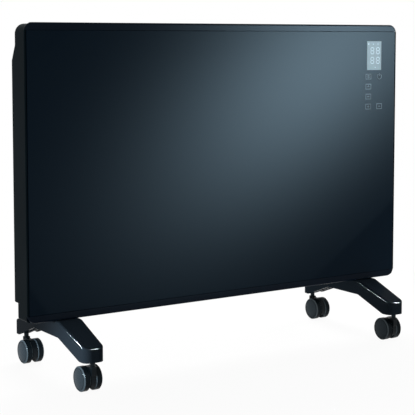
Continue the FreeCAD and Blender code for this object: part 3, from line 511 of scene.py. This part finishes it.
keys = bmesh.new()
for column, row in FRAMED_KEYS:
    centre = Vector((KEY_COLUMNS[column], KEY_ROWS[row]))
    frame_key(keys, centre)
    stroke_line(keys, centre - DASH_HALF, centre + DASH_HALF)
menu = Vector((KEY_COLUMNS[0], KEY_ROWS[0]))
plus = Vector((KEY_COLUMNS[0], KEY_ROWS[3]))
for sign in (-1, 1):
    line = menu + LINE_PITCH * sign
    stroke_line(keys, line - DASH_HALF, line + DASH_HALF)
    stroke_line(keys, plus + PLUS_HALF * sign, plus + LINE_EDGE * sign)
clock = Vector((KEY_COLUMNS[0], KEY_ROWS[1]))
stroke_line(keys, clock + LINE_EDGE, clock + HAND_TIP)
power = Vector((KEY_COLUMNS[1], KEY_ROWS[0]))
printed_arc(keys, power, POWER_RADIUS, POWER_START, POWER_END)
stroke_line(keys, power + POWER_LOW, power + POWER_HIGH)
mesh_piece("touch_key_print", keys, ink, "heater")

# Main switch: a glossy black nylon rocker in a snap-in housing on the back, with white on and off marks.
# The cable gland and its nut are moulded in the same nylon.
ROCKER_HALF = 8.2 * MM
ROCKER_LOW = 4.6 * MM
ROCKER_HIGH = 6.6 * MM
ROCKER_TILT = math.radians(8)
MARK_UP = 4.4 * MM
MARK_HALF = 2.0 * MM
MARK_LINE = 0.8 * MM
MARK_RISE = 0.06 * MM
MARK_STEPS = 32
SHELL_GRAIN = 2.0 * MM
PAD_SPECK = 0.6 * MM

# A polished mould gives the nylon a clear gloss, with a faint flow pattern in its black.
gloss_nylon = grained("moulded_nylon_black_gloss", {"Specular IOR Level": 0.4}, SHELL_GRAIN, detail=3.0,
                      tones=("0E1113", "171B1D"), gloss=(0.16, 0.26))
dress(gloss_nylon, "switch_housing", "power_rocker", "cable_gland", "gland_nut")

# Pad printing lays the white ink down matt and a little thin in places.
pad_ink = grained("pad_printed_ink_white", {"Roughness": 0.5}, PAD_SPECK, detail=3.0,
                  tones=("C8CACB", "E2E4E5"))
rocker_joint = next(joint for joint in frame["joints"] if joint["name"] == "main_switch")
rocker_pivot = Vector(rocker_joint["pos_m"])


def rocker_print(work, outline):
    """A thin printed shape on the dished face of the tilted rocker."""
    layers = []
    for rise in (MARK_RISE, -MARK_RISE):
        layer = []
        for across, up in outline:
            out = ROCKER_LOW + (ROCKER_HIGH - ROCKER_LOW) * abs(up) / ROCKER_HALF + rise
            y = out * math.cos(ROCKER_TILT) + up * math.sin(ROCKER_TILT)
            z = up * math.cos(ROCKER_TILT) - out * math.sin(ROCKER_TILT)
            layer.append(work.verts.new(rocker_pivot + Vector((across, y, z))))
        layers.append(layer)
    work.faces.new(layers[0])
    bridge(work, layers[0], layers[1])
    work.faces.new(list(reversed(layers[1])))


marks = bmesh.new()
half_line = MARK_LINE / 2
on_corners = ((-1, -1), (1, -1), (1, 1), (-1, 1))
rocker_print(marks, [(sx * half_line, MARK_UP + sz * MARK_HALF) for sx, sz in on_corners])
inner, outer = MARK_HALF - half_line, MARK_HALF + half_line
turns = [2 * math.pi * k / MARK_STEPS for k in range(MARK_STEPS + 1)]
for first, last in zip(turns, turns[1:]):
    band = ((inner, first), (outer, first), (outer, last), (inner, last))
    rocker_print(marks, [(radius * math.cos(t), radius * math.sin(t) - MARK_UP) for radius, t in band])
mesh_piece("rocker_on_off_print", marks, pad_ink, "main_rocker")

# Heating works, glimpsed through the vents: an extruded aluminium element, its ceramic core and its shield.
# Zinc-plated steel brackets carry the element, and a wall of the same sheet divides it from the electrics.
LINE_LENGTH = 500 * MM
LINE_WIDTH = 5 / 3 * MM
CERAMIC_GRAIN = 0.8 * MM

# Extruding leaves bright metal with fine lines along the length, drawn coarser than real, so that they show.
extruded, tree, shader, place = surface(
    "aluminium_extruded_bare", {"Base Color": linear("B4B8BB"), "Metallic": 1.0})
lines_scale = (1 / LINE_LENGTH, 1 / LINE_WIDTH, 1 / LINE_WIDTH)
lines = add(tree, "ShaderNodeMapping", {}, {"Scale": lines_scale}, {"Vector": place})
links = {"Vector": lines.outputs["Vector"]}
drawn = add(tree, "ShaderNodeTexNoise", {}, {"Scale": 1.0, "Detail": 2.0}, links)
gloss = add(tree, "ShaderNodeMapRange", {}, {"To Min": 0.3, "To Max": 0.5}, {"Value": drawn.outputs["Fac"]})
tree.links.new(gloss.outputs["Result"], shader.inputs["Roughness"])
dress(extruded, "heating_element", "heat_shield")
dress(zinc, "element_bracket_left", "element_bracket_right", "divider_wall")

# Fired ceramic without glaze is a chalky warm white with a sandy grain.
porcelain = grained("ceramic_unglazed_white", {"Roughness": 0.8}, CERAMIC_GRAIN, detail=2.0,
                    tones=("C9C4B8", "DAD6CC"))
dress(porcelain, "element_core")

# Electrics inside the casing: two glass-fibre boards on nylon posts, a terminal block, a switch and sensors.
# Posts and block are moulded in undyed nylon, and the guard and the sealed switches in black polycarbonate.
NATURAL_CLOUD = 3.0 * MM
GUARD_GRAIN = 1.0 * MM
WEAVE_PITCH = 1.5 * MM

# Undyed nylon is a milky off-white, cloudy where the melt cooled unevenly.
natural_nylon = grained("moulded_nylon_natural", {"Roughness": 0.45}, NATURAL_CLOUD, detail=2.0,
                        tones=("D2D0C6", "E0DED6"))
dress(natural_nylon, "control_posts", "power_posts", "terminal_block")

# The glass weave shows through the green mask as a faint check, drawn coarser than real, so that it shows.
board, tree, shader, place = surface("glass_fibre_board_green_mask", {"Roughness": 0.3})
weave_values = {"Scale": 1 / WEAVE_PITCH, "Color1": linear("0F4A2C"), "Color2": linear("12553A")}
weave = add(tree, "ShaderNodeTexChecker", {}, weave_values, {"Vector": place})
tree.links.new(weave.outputs["Color"], shader.inputs["Base Color"])
dress(board, "control_board", "power_board")

# Moulded polycarbonate is black with a soft sheen and a fine grain.
guard = grained("moulded_polycarbonate_black", {"Specular IOR Level": 0.3}, GUARD_GRAIN, detail=3.0,
                tones=("14181A", "1D2225"))
dress(guard, "control_cover", "tip_over_switch", "room_sensor", "thermal_cutout", "touch_pads")

# Floor: a plain white paper sweep, which the heater stands on.
# It is white of itself wherever it is seen, and near the heater a little of the lit paper keeps the shadow.
FLOOR_SIZE = 40
SHADOW_NEAR = 0.3
SHADOW_FAR = 0.9
WHITE_BY_HEATER = 0.95


def straight_looks(tree):
    """One where the camera, a mirror or glass looks at the surround, nought where it lights the object."""
    ray = add(tree, "ShaderNodeLightPath", {}, {}, {})
    total = ray.outputs["Is Camera Ray"]
    for kind in ("Is Glossy Ray", "Is Transmission Ray"):
        links = {0: total, 1: ray.outputs[kind]}
        step = add(tree, "ShaderNodeMath", {"operation": "ADD", "use_clamp": True}, {}, links)
        total = step.outputs["Value"]
    return total


# Uncoated paper is flat white with no sheen at all.
bpy.ops.mesh.primitive_plane_add(size=FLOOR_SIZE)
floor = bpy.context.object
floor.name = "floor"
paper, tree, shader, place = surface(
    "studio_floor_white", {"Base Color": linear("F4F4F4"), "Roughness": 0.8, "Specular IOR Level": 0.0})
reach = add(tree, "ShaderNodeVectorMath", {"operation": "LENGTH"}, {}, {"Vector": place})
fade = {"From Min": SHADOW_NEAR, "From Max": SHADOW_FAR, "To Min": WHITE_BY_HEATER}
links = {"Value": reach.outputs["Value"]}
away = add(tree, "ShaderNodeMapRange", {"interpolation_type": "SMOOTHSTEP"}, fade, links)
links = {0: straight_looks(tree), 1: away.outputs["Result"]}
share = add(tree, "ShaderNodeMath", {"operation": "MULTIPLY"}, {}, links)
white = add(tree, "ShaderNodeEmission", {}, {"Strength": 1.0}, {})
links = {"Fac": share.outputs["Value"], 1: shader.outputs["BSDF"], 2: white.outputs["Emission"]}
mix = add(tree, "ShaderNodeMixShader", {}, {}, links)
tree.links.new(mix.outputs["Shader"], tree.nodes["Material Output"].inputs["Surface"])
floor.data.materials.append(paper)
floor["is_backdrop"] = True

# Surround: an even white studio tent on all sides.
# It is plain white where it is seen or mirrored, and lights the heater softly at less than a third of that.
SURROUND_LIGHT = 0.30
SURROUND_SEEN = 1.0
world = bpy.data.worlds.new("white_surround")
bpy.context.scene.world = world
world.use_nodes = True
tree = world.node_tree
levels = {"To Min": SURROUND_LIGHT, "To Max": SURROUND_SEEN}
level = add(tree, "ShaderNodeMapRange", {}, levels, {"Value": straight_looks(tree)})
tree.links.new(level.outputs["Result"], tree.nodes["Background"].inputs["Strength"])
tree.nodes["Background"].inputs["Color"].default_value = linear("FFFFFF")

# Fill lamps: two square soft boxes, one behind and one at the right, which light the back and the right side.
# They are plain white and out of sight, in mirrors too.
BACK_PLACE = (0.6, 1.1, 1.5)
BACK_AIM = (0.0, 0.05, 0.35)
BACK_SIZE = 0.9
BACK_POWER = 36
RIGHT_PLACE = (1.6, 0.5, 0.7)
RIGHT_AIM = (0.35, 0.0, 0.2)
RIGHT_SIZE = 0.6
RIGHT_POWER = 14


def soft_box(name, place, turn, width, height, power, colour):
    """A rectangular studio lamp; unturned, it shines down."""
    lamp = bpy.data.lights.new(name, "AREA")
    lamp.shape = "RECTANGLE"
    lamp.size = width
    lamp.size_y = height
    lamp.energy = power
    lamp.color = linear(colour)[:3]
    holder = bpy.data.objects.new(name, lamp)
    bpy.context.scene.collection.objects.link(holder)
    holder.location = place
    holder.rotation_euler = turn
    holder.visible_camera = False
    return holder


def aimed(place, aim):
    """The turn of a lamp that stands at a place and shines at another."""
    return (Vector(aim) - Vector(place)).to_track_quat("-Z", "Y").to_euler()


for name, place, aim, width, power in (("back_soft_box", BACK_PLACE, BACK_AIM, BACK_SIZE, BACK_POWER),
                                       ("right_soft_box", RIGHT_PLACE, RIGHT_AIM, RIGHT_SIZE, RIGHT_POWER)):
    fill = soft_box(name, place, aimed(place, aim), width, width, power, "FFFFFF")
    fill.visible_glossy = False

# Foot and castor lamps: a spot on the left front leg and a soft box on the left castors.
# Small strips with narrow beams draw the bright lines on the feet's rims and ends and on the left wheels.
SPOT_PLACE = (-1.25, -0.18, 0.20)
SPOT_POWER = 72
SPOT_BEAM = math.radians(14)
SPOT_SIZE = 0.05
WHEEL_BOX_PLACE = (-1.25, -0.3, 0.33)
WHEEL_BOX_WIDTH = 0.4
WHEEL_BOX_HEIGHT = 0.25
WHEEL_BOX_POWER = 10
WHEEL_BOX_TINT = "DDF0FF"
LEFT_CASTORS = (-0.33, 0.0, 0.02)
LEFT_WHEELS = (-0.33, -0.1, 0.02)
LEFT_LEG_END = (-0.33, -0.13, 0.05)
LEFT_LEG_SIDE = (-0.33, -0.10, 0.06)
LEFT_LEG_RIM = (-0.328, -0.094, 0.081)
RIGHT_LEG_END = (0.29, -0.13, 0.05)
RIGHT_LEG_RIM = (0.288, -0.094, 0.081)
STRIP_BEAM = math.radians(24)
STRIP_TINT = "DCF0F6"


def lights_only(lamp, pieces):
    """Lets a lamp light only these pieces."""
    lit = bpy.data.collections.new(lamp.name + "_pieces")
    for piece in pieces:
        lit.objects.link(piece)
    lamp.light_linking.receiver_collection = lit


nodes = frame["nodes"]
left_foot = [nodes["foot_left"]]
right_foot = [nodes["foot_right"]]
left_names = [name for name in nodes if name.startswith(("wheel", "castor")) and "_left" in name]
left_castors = [nodes[name] for name in left_names]
left_wheels = [nodes[name] for name in left_names if name.startswith("wheel")]
spot = bpy.data.lights.new("foot_spot", "SPOT")
spot.energy = SPOT_POWER
spot.spot_size = SPOT_BEAM
spot.spot_blend = 1.0
spot.shadow_soft_size = SPOT_SIZE
foot_spot = bpy.data.objects.new("foot_spot", spot)
bpy.context.scene.collection.objects.link(foot_spot)
foot_spot.location = SPOT_PLACE
foot_spot.rotation_euler = aimed(SPOT_PLACE, LEFT_LEG_SIDE)
foot_spot.visible_glossy = False
lights_only(foot_spot, left_foot)
wheel_turn = aimed(WHEEL_BOX_PLACE, LEFT_CASTORS)
wheel_box = soft_box("wheel_soft_box", WHEEL_BOX_PLACE, wheel_turn, WHEEL_BOX_WIDTH, WHEEL_BOX_HEIGHT,
                     WHEEL_BOX_POWER, WHEEL_BOX_TINT)
lights_only(wheel_box, left_castors)
for name, place, aim, width, height, roll, power, pieces in (
        ("left_rim_strip", (-0.85, 0.28, 0.27), LEFT_LEG_RIM, 0.15, 0.15, 0, 14, left_foot),
        ("right_rim_strip", (-0.21, 0.24, 0.106), RIGHT_LEG_RIM, 0.125, 0.125, 0, 2.6, right_foot),
        ("left_end_strip", (-0.04, -0.455, 0.525), LEFT_LEG_END, 0.25, 0.25, 0, 30, left_foot),
        ("right_end_strip", (0.71, -0.40, 0.465), RIGHT_LEG_END, 0.2, 0.2, 0, 16, right_foot),
        ("wheel_rim_strip", (-1.37, -0.44, 0.51), LEFT_WHEELS, 0.15, 0.7, 35, 1.6, left_wheels)):
    strip = soft_box(name, place, aimed(place, aim), width, height, power, STRIP_TINT)
    strip.rotation_euler.rotate_axis("Z", math.radians(roll))
    strip.data.spread = STRIP_BEAM
    strip.visible_diffuse = False
    lights_only(strip, pieces)

# Glass light: a tilted soft box with a bell-shaped fall-off that only the panel's front catches, as gloss.
# It stands in front at the right, where the glass mirrors it as one broad pool of light.
POOL_PLACE = (0.554, -0.484, 0.501)
POOL_POWER = 269
POOL_TINT = "C6EAFF"
BELL_LONG = 0.421
BELL_SHORT = 0.201
BELL_TILT = math.radians(34.4)
BELL_SPAN = 4.0
LAMP_MIDDLE = (0.5, 0.5, 0.0)
pool_turn = (math.radians(90), -BELL_TILT, 0.0)
pool_width, pool_height = BELL_SPAN * BELL_LONG, BELL_SPAN * BELL_SHORT
pool = soft_box("glass_soft_box", POOL_PLACE, pool_turn, pool_width, pool_height, POOL_POWER, POOL_TINT)
pool.visible_diffuse = False
prints = [bpy.data.objects[name] for name in ("display_window", "display_figures", "touch_key_print")]
lights_only(pool, [nodes["glass_panel"], nodes["top_rail"], nodes["bottom_rail"]] + prints)
pool.data.use_nodes = True
tree = pool.data.node_tree
across = add(tree, "ShaderNodeNewGeometry", {}, {}, {}).outputs["Parametric"]
centred = add(tree, "ShaderNodeVectorMath", {"operation": "SUBTRACT"}, {1: LAMP_MIDDLE}, {0: across})
links = {0: centred.outputs["Vector"]}
scaled = add(tree, "ShaderNodeVectorMath", {"operation": "SCALE"}, {"Scale": BELL_SPAN}, links)
links = {0: scaled.outputs["Vector"], 1: scaled.outputs["Vector"]}
squared = add(tree, "ShaderNodeVectorMath", {"operation": "DOT_PRODUCT"}, {}, links)
minus = add(tree, "ShaderNodeMath", {"operation": "MULTIPLY"}, {1: -1.0}, {0: squared.outputs["Value"]})
bell = add(tree, "ShaderNodeMath", {"operation": "EXPONENT"}, {}, {0: minus.outputs["Value"]})
tree.links.new(bell.outputs["Value"], tree.nodes["Emission"].inputs["Strength"])

# Camera: the photograph's viewing angle, from the left and just below the top of the glass.
# It tips down a little, and the shift brings the frame down the rest of the way to the castors.
FOCAL_PIXELS = 1255.7
IMAGE_PIXELS = 415
SENSOR_WIDTH = 36.0
LENS_SHIFT = -0.15
CAMERA_PLACE = (-1.2123, -1.8061, 0.5449)
CAMERA_TIP = math.radians(4.807)
CAMERA_TURN = math.radians(-33.48)
lens = bpy.data.cameras.new("camera")
camera = bpy.data.objects.new("camera", lens)
bpy.context.scene.collection.objects.link(camera)
lens.sensor_width = SENSOR_WIDTH
lens.lens = FOCAL_PIXELS / IMAGE_PIXELS * SENSOR_WIDTH
lens.shift_y = LENS_SHIFT
camera.location = CAMERA_PLACE
camera.rotation_euler = (math.radians(90) - CAMERA_TIP, 0.0, CAMERA_TURN)
bpy.context.scene.camera = camera

# Finish: plain colours on screen, and the heater's box before and after it was dressed.
# The dressed heater has to stay within the box of its solids.
bpy.context.scene.view_settings.view_transform = "Standard"
low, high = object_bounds()
